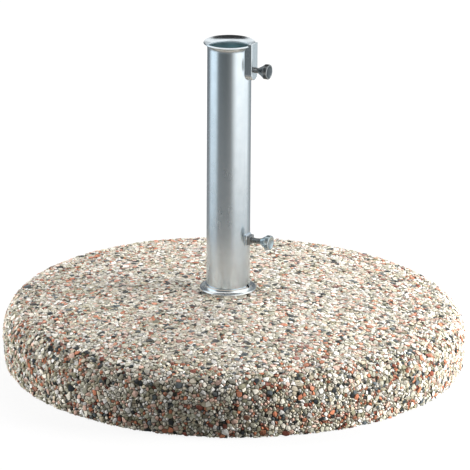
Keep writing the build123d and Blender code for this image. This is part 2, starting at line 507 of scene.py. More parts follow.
@dataclass(frozen=True)
class Bore:
    """The inside of a tube, which light hardly reaches, with a painted teal reflection near its top and
    painted shade deeper down; and the foot's cooler tone.
    """

    radius: float
    top: float
    # Painted light: a teal reflection near the top of the inside, and near-black shade deep in it.
    painted_reflection: Colour = (0.42, 0.66, 0.71)
    dark: Colour = (0.01, 0.01, 0.01)
    cool: Colour = (0.92, 1.0, 1.08)
    margin: float = 0.0004
    deep_margin: float = 0.0006
    clear: float = 0.007
    fade: float = 0.005

    def hide(self, sheet: NodeSheet, where: bpy.types.NodeSocket, colour: Any) -> tuple[Any, Any]:
        """Paints a teal reflection near the top of the inside and shade deeper in it, and cools the foot.

        Args:
            sheet: The material's nodes.
            where: The place on the object.
            colour: The metal's colour.

        Returns:
            The new colour, and the mask of the inside.
        """
        off = sheet.vector("LENGTH", sheet.vector("MULTIPLY", where, (1.0, 1.0, 0.0)))
        height = sheet.add("SeparateXYZ", None, Vector=where).outputs["Z"]
        deep = sheet.spread(height, 0.3 * self.top, 0.5 * self.top, 1.0, 0.0)
        nearer = sheet.math("SUBTRACT", off, sheet.math("MULTIPLY", deep, self.deep_margin))
        inner = sheet.spread(nearer, self.radius, self.radius + self.margin, 1.0, 0.0)
        lip = self.top - self.clear
        inner = sheet.math("MULTIPLY", inner, sheet.spread(height, lip - self.fade, lip, 1.0, 0.0))
        foot = sheet.spread(height, 0.2 * self.top, 0.55 * self.top, 1.0, 0.0)
        colour = sheet.blend(foot, colour, sheet.blend(1.0, colour, self.cool, "MULTIPLY"))
        # Painted reflection near the lip, turning to painted shade further down the inside.
        return sheet.blend(inner, colour, sheet.blend(deep, self.painted_reflection, self.dark)), inner


@dataclass(frozen=True)
class PlatedSteel:
    """Zinc-plated steel, from bright drawn tube to the dull plating on a nut."""

    bright: Colour
    dull: Colour
    roughness: float
    dull_roughness: float
    stretch: Colour = (1.0, 1.0, 1.0)
    line_scale: float = 900.0
    line_depth: float = 0.00001
    patch_scale: float = 30.0
    spot_scale: float = 420.0
    patches: float = 0.55
    streaks: float = 0.35
    spots: float = 0.35
    wear: float = 0.5
    rubbed: Colour = (0.86, 0.87, 0.86)
    dust: float = 0.12
    dust_colour: Colour = (0.46, 0.43, 0.38)
    bore: Bore | None = None

    def material(self, name: str, workshop: Workshop) -> bpy.types.Material:
        """Makes the finish's material.

        Args:
            name: The material's name.
            workshop: The shared effects.

        Returns:
            The material.
        """
        effects, use = workshop.effects, workshop.place
        material, sheet, shader, where = workshop.start(name)
        scales = {"Patch_Scale": self.patch_scale, "Spot_Scale": self.spot_scale}
        bloom = use(sheet, effects.bloom, Place=where, **scales)
        lines = use(sheet, effects.drawing_lines, Place=where, Stretch=self.stretch, Scale=self.line_scale)
        worn = use(sheet, effects.worn_edges, Place=where, Reach=0.05, Break_Up=220.0)
        settled = use(sheet, effects.dust, Place=where, Amount=self.dust, Scale=90.0)["Mask"]
        dulled = sheet.math("MULTIPLY", bloom["Patches"], self.patches)
        streaks = sheet.math("MULTIPLY", lines["Broad"], self.streaks)
        dulled = sheet.math("ADD", dulled, streaks, clamp=True)
        colour = sheet.blend(dulled, self.bright, self.dull)
        colour = sheet.blend(sheet.math("MULTIPLY", bloom["Spots"], self.spots), colour, self.dull)
        colour = sheet.blend(sheet.math("MULTIPLY", worn["Mask"], self.wear), colour, self.rubbed)
        colour = sheet.blend(settled, colour, self.dust_colour)
        rough = sheet.spread(dulled, 0.0, 1.0, self.roughness, self.dull_roughness)
        rough = sheet.math("ADD", rough, sheet.math("MULTIPLY", settled, 0.5), clamp=True)
        # Painted reflection and painted shade inside the bore.
        if self.bore:
            colour, hidden = self.bore.hide(sheet, where, colour)
            rough = sheet.math("ADD", rough, sheet.math("MULTIPLY", hidden, 0.22), clamp=True)
        bump = sheet.add("Bump", None, Strength=0.6, Distance=self.line_depth, Height=lines["Height"])
        shader.inputs["Metallic"].default_value = 1.0
        sheet.feed(shader.inputs["Base Color"], colour)
        sheet.feed(shader.inputs["Roughness"], rough)
        sheet.feed(shader.inputs["Normal"], bump.outputs[0])
        return material


@dataclass(frozen=True)
class WashedAggregate:
    """Concrete whose skin is washed off, so that its chippings show in a sandy matrix, with painted shade in
    the pits and gaps between them.
    """

    # The matrix colour is the cement's own, made darker as painted shade in the gaps between grains.
    matrix: Colour = (0.145, 0.14, 0.075)
    matrix_gain: float = 1.5
    # Near-black painted shade for the pits, the gaps between grains and sunk grains.
    pit: Colour = (0.028, 0.026, 0.018)
    roughness: float = 0.62
    rougher: tuple[float, float] = (-0.14, 0.18)
    tones: tuple[float, float] = (0.70, 1.22)
    mottle: tuple[float, float] = (0.88, 1.12)
    matrix_from: tuple[float, float] = (0.66, 0.98)
    pit_from: tuple[float, float] = (0.18, 0.6)
    dust: float = 0.62
    dust_colour: Colour = (0.72, 0.66, 0.61)
    dark_kinds: tuple[float, float] = (0.55, 0.85)
    dark_veil: float = 0.3
    grit_depth: float = 0.00035

    def material(self, name: str, workshop: Workshop) -> bpy.types.Material:
        """Makes the finish's material.

        Args:
            name: The material's name.
            workshop: The shared effects.

        Returns:
            The material.
        """
        material, sheet, shader, where = workshop.start(name)
        kinds = list(Grain)
        kind_of, shade, seam, depth = (
            sheet.add("Attribute", {"attribute_name": stored}).outputs["Fac"]
            for stored in ("grain", "shade", "seam", "pit")
        )
        ramp = sheet.add("ValToRGB", None, Fac=kind_of)
        ramp.color_ramp.interpolation = "CONSTANT"
        fill_ramp(ramp.color_ramp, [(index / len(kinds), kind.colour) for index, kind in enumerate(kinds)])
        fine = sheet.noise(where, 700.0, 3.0, 0.6)
        speck = sheet.spread(sheet.noise(where, 1500.0, 2.0, 0.7), 0.3, 0.75)
        tone = sheet.spread(shade, 0.0, 1.0, *self.tones)
        tone = sheet.math("MULTIPLY", tone, sheet.spread(fine, 0.25, 0.75, *self.mottle))
        colour = sheet.vector("SCALE", ramp.outputs[0], tone)
        matrix = sheet.blend(speck, self.matrix, tuple(self.matrix_gain * c for c in self.matrix))
        edge = sheet.math("ADD", seam, sheet.math("MULTIPLY", fine, 0.3))
        # Cement showing at the grains' edges, darkened as painted shade in the gaps.
        colour = sheet.blend(sheet.spread(edge, *self.matrix_from), colour, matrix)
        # Painted shade in the pits and gaps between grains and on sunk grains.
        colour = sheet.blend(sheet.spread(depth, *self.pit_from), colour, self.pit)
        settled = workshop.place(sheet, workshop.effects.dust, Place=where, Amount=self.dust, Scale=45.0)
        veil = sheet.spread(kind_of, *self.dark_kinds, 1.0, self.dark_veil)
        colour = sheet.blend(sheet.math("MULTIPLY", settled["Mask"], veil), colour, self.dust_colour)
        height = sheet.math("ADD", fine, sheet.math("MULTIPLY", speck, 0.4))
        bump = sheet.add("Bump", None, Strength=0.5, Distance=self.grit_depth, Height=height)
        rough = sheet.spread(shade, 0.0, 1.0, *(self.roughness + more for more in self.rougher))
        sheet.feed(shader.inputs["Base Color"], colour)
        sheet.feed(shader.inputs["Roughness"], rough)
        sheet.feed(shader.inputs["Normal"], bump.outputs[0])
        return material


# ---- The stone -----------------------------------------------------------------------------------


class StoneOutline:
    """The stone's outer outline as lengths, radii and heights, with a map that keeps angles.

    The outline runs from the well's rim over the crown and round the side to just under the foot.
    The map unrolls the surface onto a flat disc without bending any small shape, so cells drawn
    on the disc keep their form on the stone.
    """

    def __init__(self, node: bpy.types.Object, step: float = 0.0005, tuck: float = 0.009) -> None:
        """Reads the outline from the stone's CAD node.

        Args:
            node: The stone's CAD node.
            step: The spacing of the outline's samples.
            tuck: How far the outline goes on under the foot.
        """
        spots = np.array([v.co for v in node.data.vertices], float)
        radius, height = np.hypot(spots[:, 0], spots[:, 1]), spots[:, 2]
        low, high, slack, crown = height.min(), height.max(), 1e-5, 2e-3
        self.reach = float(radius.max())
        self.well = float(radius[height > high - slack].min())
        well_wall = (abs(radius - self.well) < 2e-4) & (height > low + 1e-3)
        self.well_foot = float(height[well_wall].min())
        outer = ((radius > 0.5 * self.reach) & (height > low + slack)) | (height > high - crown)
        foot = radius[height < low + slack].max()
        corners = np.unique(np.round(np.stack([radius[outer], height[outer]], 1), 5), axis=0)
        turn = np.arctan2(corners[:, 1] - low, corners[:, 0] - 0.5 * self.reach)
        corners = corners[np.argsort(-turn)]
        corners = np.vstack([corners, [[foot, low], [foot - tuck, low]]])
        along = np.concatenate([[0], np.cumsum(np.hypot(*np.diff(corners, axis=0).T))])
        self.length = np.arange(0.0, along[-1], step)
        width = 7
        smooth = np.hanning(width) / np.hanning(width).sum()
        rough = (np.interp(self.length, along, column) for column in corners.T)
        self.radius, self.height = (
            np.convolve(np.pad(values, width // 2, mode="edge"), smooth, "valid") for values in rough
        )
        self.radius[0] = self.well
        self.foot = float(foot)
        self.ground = float(low)
        grow = np.concatenate([[0], np.cumsum(step / (0.5 * (self.radius[1:] + self.radius[:-1])))])
        self.spread = self.well * np.exp(grow)
        run, drop = np.gradient(self.radius), np.gradient(self.height)
        size = np.hypot(run, drop)
        self.out_r, self.out_z = -drop / size, run / size

    def place(self, spots: np.ndarray, lift: np.ndarray | float = 0.0) -> np.ndarray:
        """Puts points of the flat disc on the stone.

        Args:
            spots: Points on the disc.
            lift: How far each stands out of the surface.

        Returns:
            The points in space.
        """
        spread, turn = np.hypot(*spots.T), np.arctan2(spots[:, 1], spots[:, 0])
        radius, height, out_r, out_z = (
            np.interp(spread, self.spread, values)
            for values in (self.radius, self.height, self.out_r, self.out_z)
        )
        return np.column_stack([on_disc(radius + lift * out_r, turn), height + lift * out_z])

    def scale(self, spots: np.ndarray) -> np.ndarray:
        """How much larger the disc is than the stone at points of the disc."""
        spread = np.hypot(*spots.T)
        return spread / np.interp(spread, self.spread, self.radius)


@dataclass(frozen=True)
class Cells:
    """The grains, and the corners of each grain's cell in order round it.

    The last three arrays have one row for each corner: its grain, the point where it meets other
    cells, and the row of the cell's next corner.
    """

    centres: np.ndarray
    sizes: np.ndarray
    meeting: np.ndarray
    grain: np.ndarray
    point: np.ndarray
    following: np.ndarray


@dataclass
class AggregateStone:
    """The cast disc, whose every chipping is its own raised cell of one closed mesh."""

    WELL_CORNER: ClassVar[float] = 0.075
    FOOT_CORNER: ClassVar[float] = 0.925

    node: bpy.types.Object
    seed: int = 7
    chip: float = 0.0062
    coarse: float = 0.0048
    middling: float = 0.0037
    small: float = 0.0029
    fines: float = 0.0021
    tries_per_chip: int = 260
    tries: tuple[int, ...] = (1, 4, 18, 120, 560)
    edge_spread: tuple[float, float] = (0.9, 1.004)
    edge_points: tuple[int, int] = (60, 760)
    # seam_dark, pit_dark, sunk_dark and steep_pit set the painted shade in the gaps, the pits and on sunk
    # grains.
    seam_depth: float = 0.0007
    seam_range: tuple[float, float] = (0.5, 1.5)
    seam_dark: tuple[float, float] = (0.05, 0.5)
    pit_depth: float = 0.0021
    pit_range: tuple[float, float] = (0.5, 1.1)
    pit_dark: tuple[float, float] = (0.6, 1.0)
    pit_share: float = 0.5
    ring_seam: float = 0.3
    steep_seam: float = -1.3
    steep_pit: float = -1.4
    unevenness: float = 0.00032
    tilt: float = 0.16
    dome: float = 0.06
    dome_range: tuple[float, float] = (0.2, 1.6)
    sunk_share: float = 0.06
    sunk_range: tuple[float, float] = (0.4, 0.9)
    sunk_dark: tuple[float, float] = (0.35, 0.4)
    highest: tuple[float, float] = (0.0004, 0.0005)
    own_form: float = 0.92
    inset: tuple[float, float] = (0.7, 0.16)
    angular: float = 0.34
    lean: float = 0.0069
    crown_tilt: float = 0.91
    rim_wave: float = 0.0002
    bite: float = 0.0016
    bite_height: float = 0.006
    outline: StoneOutline = field(init=False)

    def __post_init__(self) -> None:
        """Reads the outline that the cells follow."""
        self.outline = StoneOutline(self.node)

    def scatter(self, rng: np.random.Generator) -> tuple[np.ndarray, np.ndarray]:
        """Throws grains onto the surface, the largest first, so that none lies on another.

        Args:
            rng: The seeded source of chance.

        Returns:
            The grains' centres on the disc and their sizes.
        """
        outline, cell = self.outline, self.chip
        inside = (outline.radius > outline.well + 0.001) & (outline.length < outline.length[-1] - 0.004)
        weight = np.where(inside, outline.radius, 0.0)
        chance = np.cumsum(weight) / weight.sum()
        grid: dict[tuple[int, int, int], list[tuple[float, float, float, float]]] = {}
        centres, sizes = [], []
        steps = [(i, j, k) for i in (-1, 0, 1) for j in (-1, 0, 1) for k in (-1, 0, 1)]
        thrown = (self.chip, self.coarse, self.middling, self.small, self.fines)
        for size, share in zip(thrown, self.tries):
            count = share * self.tries_per_chip
            spread = np.interp(rng.random(count), chance, outline.spread)
            flat = on_disc(spread, rng.random(count) * 2 * math.pi)
            for spot, (x, y, z) in zip(flat, outline.place(flat)):
                home = (int(x // cell), int(y // cell), int(z // cell))
                near = (p for step in steps for p in grid.get(tuple(map(sum, zip(home, step))), ()))
                if all((x - a) ** 2 + (y - b) ** 2 + (z - c) ** 2 > (0.5 * (size + d)) ** 2
                       for a, b, c, d in near):
                    grid.setdefault(home, []).append((x, y, z, size))
                    centres.append(spot)
                    sizes.append(size)
        return np.array(centres), np.array(sizes)

    def edge_rings(self) -> np.ndarray:
        """Points just outside the covered area, which end the outermost cells."""
        ends = self.outline.spread[[0, -1]] * self.edge_spread
        return np.vstack([on_disc(end, turns(count)) for end, count in zip(ends, self.edge_points)])

    @staticmethod
    def meeting_points(corners: np.ndarray, reach: np.ndarray) -> np.ndarray:
        """The point equally far from the rims of three round grains.

        Args:
            corners: The grains' centres, as (triple, grain, xy).
            reach: The grains' radii, as (triple, grain).

        Returns:
            A point for each triple, kept inside its triangle.
        """
        spot = corners.mean(1)
        for _ in range(8):
            away = spot[:, None] - corners
            far = np.maximum(np.linalg.norm(away, axis=2), 1e-9)
            unit, gap = away / far[..., None], far - reach
            a, b = unit[:, 1] - unit[:, 0], unit[:, 2] - unit[:, 0]
            u, v = gap[:, 1] - gap[:, 0], gap[:, 2] - gap[:, 0]
            det = a[:, 0] * b[:, 1] - a[:, 1] * b[:, 0]
            det = np.where(abs(det) < 1e-6, 1e-6, det)
            move = np.stack([u * b[:, 1] - v * a[:, 1], a[:, 0] * v - b[:, 0] * u], 1) / det[:, None]
            most = 0.3 * far.min(1)
            length = np.maximum(np.linalg.norm(move, axis=1), 1e-12)
            spot = spot - move * np.minimum(1.0, most / length)[:, None]
        one, two = corners[:, 1] - corners[:, 0], corners[:, 2] - corners[:, 0]
        off = spot - corners[:, 0]
        area = one[:, 0] * two[:, 1] - one[:, 1] * two[:, 0]
        area = np.where(abs(area) < 1e-12, 1e-12, area)
        s = (off[:, 0] * two[:, 1] - off[:, 1] * two[:, 0]) / area
        t = (one[:, 0] * off[:, 1] - one[:, 1] * off[:, 0]) / area
        share = np.clip(np.stack([1 - s - t, s, t], 1), 0.12, 0.9)
        share /= share.sum(1, keepdims=True)
        return (corners * share[..., None]).sum(1)

    def cells(self, centres: np.ndarray, sizes: np.ndarray, rng: np.random.Generator) -> Cells:
        """Divides the disc into one cell for each grain.

        Args:
            centres: The grains' centres on the disc.
            sizes: The grains' sizes.
            rng: The seeded source of chance.

        Returns:
            The cells.
        """
        count = len(centres)
        everything = np.vstack([centres, self.edge_rings()])
        beyond = np.full(len(everything) - count, 0.001)
        radii = np.concatenate([sizes * 0.5 * self.outline.scale(centres), beyond])
        found = geometry.delaunay_2d_cdt([Vector(p) for p in everything], [], [], 0, 1e-9)
        back = np.array([o[0] for o in found[3]])
        triangles = back[np.array(found[2])]
        triangles = triangles[(triangles < count).any(1)]
        meeting = self.meeting_points(everything[triangles], radii[triangles])
        nudge = rng.normal(0.0, self.angular, meeting.shape) * radii[triangles].mean(1, keepdims=True)
        meeting = np.where((triangles < count).all(1)[:, None], meeting + nudge, meeting)
        grain = triangles.ravel()
        point = np.repeat(np.arange(len(triangles)), 3)
        real = grain < count
        grain, point = grain[real], point[real]
        away = everything[triangles].mean(1)[point] - centres[grain]
        order = np.lexsort((np.arctan2(away[:, 1], away[:, 0]), grain))
        grain, point = grain[order], point[order]
        following = np.arange(1, len(grain) + 1)
        starts = np.flatnonzero(np.concatenate([[True], grain[1:] != grain[:-1]]))
        following[np.concatenate([starts[1:], [len(grain)]]) - 1] = starts
        return Cells(centres, sizes, meeting, grain, point, following)

    def chance_colours(self, sizes: np.ndarray, rng: np.random.Generator) -> np.ndarray:
        """Gives each grain a kind.

        Args:
            sizes: The grains' sizes.
            rng: The seeded source of chance.

        Returns:
            A number from 0 to 1 for each grain, in its kind's band of the colour ramp.
        """
        kinds = list(Grain)
        common = np.cumsum([k.share for k in kinds])
        chips = np.cumsum([k.chip_share for k in kinds])
        draw = rng.random(len(sizes))
        kind = np.searchsorted(common / common[-1], draw)
        large = sizes > 0.5 * (self.coarse + self.chip)
        kind[large] = np.searchsorted(chips / chips[-1], draw[large])
        return (kind + 0.5) / len(kinds)

    def raise_grains(
        self, cells: Cells, rng: np.random.Generator
    ) -> tuple[np.ndarray, np.ndarray, np.ndarray, np.ndarray]:
        """Draws each grain's top in from its cell and lifts, sinks and tilts it.

        Args:
            cells: The cells.
            rng: The seeded source of chance.

        Returns:
            The tops' corners on the disc, how far they stand out, how far the grains' middles do,
            and which grains have sunk.
        """
        centres, sizes, grain = cells.centres, cells.sizes, cells.grain
        count = len(centres)
        away = cells.meeting[cells.point] - centres[grain]
        far = np.linalg.norm(away, axis=1)
        mean = np.bincount(grain, far) / np.bincount(grain)
        rounder = self.own_form * far + (1 - self.own_form) * mean[grain]
        inset = self.inset[0] + self.inset[1] * rng.random(count)
        inner = centres[grain] + away / far[:, None] * (rounder * inset[grain])[:, None]
        lift = rng.normal(0.0, self.unevenness, count)
        sunk = rng.random(count) < self.sunk_share
        sunk_lift = -self.pit_depth * rng.uniform(*self.sunk_range, count)
        lift = np.where(sunk & (sizes < self.coarse), sunk_lift, lift)
        slope = rng.normal(0.0, self.tilt, (count, 2))
        fall = ((inner - centres[grain]) * slope[grain]).sum(1) / self.outline.scale(centres)[grain]
        top_lift = lift + self.dome * sizes * rng.uniform(*self.dome_range, count)
        return inner, lift[grain] + fall, top_lift, sunk

    def build(self) -> bpy.types.Object:
        """Builds the closed mesh of cells, well and underside.

        Returns:
            The stone, with its attributes and its bake map.
        """
        rng = np.random.default_rng(self.seed)
        centres, sizes = self.scatter(rng)
        LOG.info("stone: %d grains", len(centres))
        cells = self.cells(centres, sizes, rng)
        grain, meeting = cells.grain, cells.meeting
        inner, inner_lift, top_lift, sunk = self.raise_grains(cells, rng)
        # Pits, deeper points whose darkness is painted shade, grow commoner towards the side.
        outward = np.hypot(*meeting.T) / self.outline.spread[-1]
        pitted = rng.random(len(meeting)) < np.interp(outward, (0.5, 0.75), (0.7, 1.25)) * self.pit_share
        seam = -self.seam_depth * rng.uniform(*self.seam_range, len(meeting))
        seam = np.where(pitted, -self.pit_depth * rng.uniform(*self.pit_range, len(meeting)), seam)
        flat = np.vstack([meeting, inner, centres])
        lifts = (np.minimum(lift, most) for lift, most in zip((inner_lift, top_lift), self.highest))
        points = self.cast(flat, np.concatenate([seam, *lifts]))
        large = sizes > 0.5 * (self.small + self.middling)
        piece = self.mesh(cells, points, large)
        mesh, ringed = piece.data, large[grain]
        owner = np.concatenate([grain[ringed], grain[ringed], grain[~ringed]])
        kind = self.chance_colours(sizes, rng)
        self._attribute(mesh, "grain", "FACE", kind[owner])
        self._attribute(mesh, "shade", "FACE", rng.random(len(centres))[owner])
        middle = np.where(large, 0.0, self.steep_seam)
        rims = [np.ones(len(meeting)), np.full(len(inner), self.ring_seam), middle]
        self._attribute(mesh, "seam", "POINT", np.concatenate(rims))
        # Painted shade: darkest at the pits, faint in the other gaps, and on sunk grains.
        dark, faint = (rng.uniform(*span, len(meeting)) for span in (self.pit_dark, self.seam_dark))
        middle = np.where(sunk, self.sunk_dark[1], np.where(large, 0.0, self.steep_pit))
        holes = [np.where(pitted, dark, faint), np.where(sunk[grain], self.sunk_dark[0], 0.0), middle]
        self._attribute(mesh, "pit", "POINT", np.concatenate(holes))
        self._attribute(mesh, "flat_x", "POINT", flat[:, 0])
        self._attribute(mesh, "flat_y", "POINT", flat[:, 1])
        self.close(piece)
        LOG.info("stone: %d faces", len(mesh.polygons))
        return piece

    @staticmethod
    def mesh(cells: Cells, points: np.ndarray, large: np.ndarray) -> bpy.types.Object:
        """Joins the cells' points by faces.

        Args:
            cells: The cells.
            points: The meeting points, the tops' corners and the middles, in space.
            large: Which grains have a flat top with a slope round it; the others rise to a point.

        Returns:
            The stone's open mesh.
        """
        grain, point, first = cells.grain, cells.point, len(cells.meeting)
        ringed, beside = large[grain], point[cells.following]
        ring, ring_next = first + np.arange(len(grain)), first + cells.following
        hub = first + len(grain) + grain
        faces = [
            np.stack([point, beside, ring_next, ring], 1)[ringed],
            np.stack([ring, ring_next, hub], 1)[ringed],
            np.stack([point, beside, hub], 1)[~ringed],
        ]
        return mesh_piece("stone", points, faces, smooth=False)

    def cast(self, flat: np.ndarray, depth: np.ndarray) -> np.ndarray:
        """Puts the cells' points on the stone, with the casting's own small faults.

        Args:
            flat: Points on the disc.
            depth: How far each stands out of the surface.

        Returns:
            The points in space.
        """
        outline = self.outline
        turn, spread = np.arctan2(flat[:, 1], flat[:, 0]), np.hypot(*flat.T)
        waves = (math.sin(1.7 * k) * np.sin(k * turn + 40 * k * spread) for k in (2, 3, 5, 7, 11, 17, 23))
        washed = np.interp(spread / outline.spread[-1], (0.5, 0.8), (0.62, 1.15))
        points = outline.place(flat, depth * washed + self.rim_wave * sum(waves))
        radius, clear = np.hypot(*points[:, :2].T), 1.5 * outline.well
        fade = np.clip((radius - clear) / (outline.reach - clear), 0, 1)
        fall = math.tan(math.radians(self.crown_tilt)) * points[:, 0] * points[:, 2] / outline.height[0]
        points[:, 0] += self.lean * fade * fade * (3 - 2 * fade)
        points[:, 2] -= fall * fade
        low = np.clip(1 - (points[:, 2] - outline.ground) / self.bite_height, 0, 1)
        points[:, 2] = np.maximum(points[:, 2], outline.ground)
        bites = sum(np.sin(k * turn + 2.3 * k) for k in (9, 21, 34, 55, 89))
        bitten = low * np.clip(bites / 2.2 - 0.25, 0, 1) * self.bite
        points[:, :2] *= (1 - bitten / outline.foot)[:, None]
        return points

    @staticmethod
    def _attribute(mesh: bpy.types.Mesh, name: str, domain: str, values: np.ndarray) -> None:
        """Stores a number for each point or face."""
        attribute = mesh.attributes.new(name, "FLOAT", domain)
        attribute.data.foreach_set("value", np.asarray(values, np.float32))

    def close(self, piece: bpy.types.Object) -> None:
        """Adds the well and the underside, and lays out the bake map.

        Args:
            piece: The stone's open mesh of cells.
        """
        outline, mesh = self.outline, piece.data
        bm = bmesh.new()
        bm.from_mesh(mesh)
        uv = bm.loops.layers.uv.new("OFBake")
        flat_x, flat_y = bm.verts.layers.float["flat_x"], bm.verts.layers.float["flat_y"]
        half = 0.49 / outline.spread[-1] / self.edge_spread[1]
        for face in bm.faces:
            for loop in face.loops:
                loop[uv].uv = (0.5 + half * loop.vert[flat_x], 0.5 + half * loop.vert[flat_y])
        split = 2 * outline.well
        edges = [e for e in bm.edges if e.is_boundary]
        rim = [e for e in edges if math.hypot(*e.verts[0].co[:2]) < split]
        foot = [e for e in edges if math.hypot(*e.verts[0].co[:2]) >= split]
        for vert in {v for e in rim for v in e.verts}:
            turn = math.atan2(vert.co.y, vert.co.x)
            vert.co = (outline.well * math.cos(turn), outline.well * math.sin(turn), outline.height[0])
        ground = {v for e in foot for v in e.verts}
        for vert in ground:
            vert.co.z = outline.ground
        bmesh.ops.delete(bm, geom=[v for v in bm.verts if not v.link_edges], context="VERTS")
        made = bmesh.ops.extrude_edge_only(bm, edges=rim)["geom"]
        floor = {v for v in made if isinstance(v, bmesh.types.BMVert)}
        for vert in floor:
            vert.co.z = outline.well_foot
        for wall in (f for f in made if isinstance(f, bmesh.types.BMFace)):
            wall.smooth = True
            for loop in wall.loops:
                reach = 0.035 if loop.vert in floor else 0.07
                loop[uv].uv = self._corner_uv(loop.vert.co, self.WELL_CORNER, reach)
        self._cap(bm, self._walk(floor), self.WELL_CORNER, 0.033)
        self._cap(bm, self._walk(ground)[::-1], self.FOOT_CORNER, 0.065)
        bm.to_mesh(mesh)
        bm.free()
        for spare in ("flat_x", "flat_y"):
            mesh.attributes.remove(mesh.attributes[spare])

    def _cap(self, bm: bmesh.types.BMesh, rim: list[bmesh.types.BMVert], corner: float, full: float) -> None:
        """Fills an open rim with two rings of faces and a hub.

        Args:
            bm: The stone's mesh.
            rim: The rim's corners, in order.
            corner: The cap's middle on the bake map.
            full: The cap's radius on the bake map.
        """
        uv, around = bm.loops.layers.uv["OFBake"], rim
        for share in (0.7, 0.35, 0.0):
            level = around[0].co.z
            if share:
                within = [bm.verts.new((v.co.x * share, v.co.y * share, level)) for v in rim]
            else:
                within = [bm.verts.new((0.0, 0.0, level))] * len(rim)
            for here, start in enumerate(rim):
                after = (here + 1) % len(rim)
                corners = [around[here], around[after], within[after], within[here]]
                face = bm.faces.new(corners if share else corners[:3])
                face.smooth = False
                for loop in face.loops:
                    off = math.hypot(*loop.vert.co[:2]) / math.hypot(*start.co[:2])
                    loop[uv].uv = self._corner_uv(loop.vert.co, corner, full * min(off, 1.0))
            around = within

    @staticmethod
    def _walk(verts: set[bmesh.types.BMVert]) -> list[bmesh.types.BMVert]:
        """Puts the corners of an open rim in order, counter-clockwise from above.

        Args:
            verts: The rim's corners.

        Returns:
            The corners, each joined to the next by an open edge.
        """
        first = min(verts, key=lambda v: (v.co.x, v.co.y))
        ordered, last, here = [first], None, first
        while True:
            open_edges = [e for e in here.link_edges if e.is_boundary and e is not last]
            last = open_edges[0]
            here = last.other_vert(here)
            if here is first:
                break
            ordered.append(here)
        area = sum(a.co.x * b.co.y - a.co.y * b.co.x for a, b in zip(ordered, ordered[1:] + ordered[:1]))
        return ordered if area > 0 else ordered[::-1]

    @staticmethod
    def _corner_uv(spot: Vector, corner: float, reach: float) -> tuple[float, float]:
        """A place in a corner of the bake map, at an angle of a point of the stone."""
        turn = math.atan2(spot.y, spot.x)
        return corner + reach * math.cos(turn), corner + reach * math.sin(turn)


# ---- Screws, nuts and weld -----------------------------------------------------------------------


class TurnedNode:
    """A CAD node that is round about a screw's axis, read as distances along and off the axis."""

    def __init__(self, node: bpy.types.Object, axis: Matrix) -> None:
        """Reads the node.

        Args:
            node: The CAD node.
            axis: The matrix whose x axis is the screw's, with its origin on the tube's axis.
        """
        self.axis = axis
        back = np.array(axis.inverted(), float)
        spots = np.array([v.co for v in node.data.vertices], float)
        spots = spots @ back[:3, :3].T + back[:3, 3]
        self.across = spots[:, 1]
        self.along, self.off = spots[:, 0], np.hypot(spots[:, 1], spots[:, 2])

    def reach_at(self, along: float, slack: float = 1e-5) -> float:
        """The largest distance off the axis at a place along it."""
        return float(self.off[abs(self.along - along) < slack].max())

    def put(self, rings: np.ndarray) -> np.ndarray:
        """Turns points about the screw's axis into the frame's."""
        turn = np.array(self.axis, float)
        return rings @ turn[:3, :3].T + turn[:3, 3]


def screw_axis(frame: dict[str, Any], place: Place) -> Matrix:
    """The matrix of a screw: x outwards along it, z up, origin on the tube's axis.

    Args:
        frame: The loaded frame.
        place: Which screw.

    Returns:
        The matrix.
    """
    joint = next(j for j in frame["joints"] if j["name"] == f"{place.value}_turn")
    out = Vector(joint["axis"]).normalized()
    up = Vector((0, 0, 1))
    turn = Matrix((out, up.cross(out), up)).transposed().to_4x4()
    return Matrix.Translation(joint["pos_m"]) @ turn


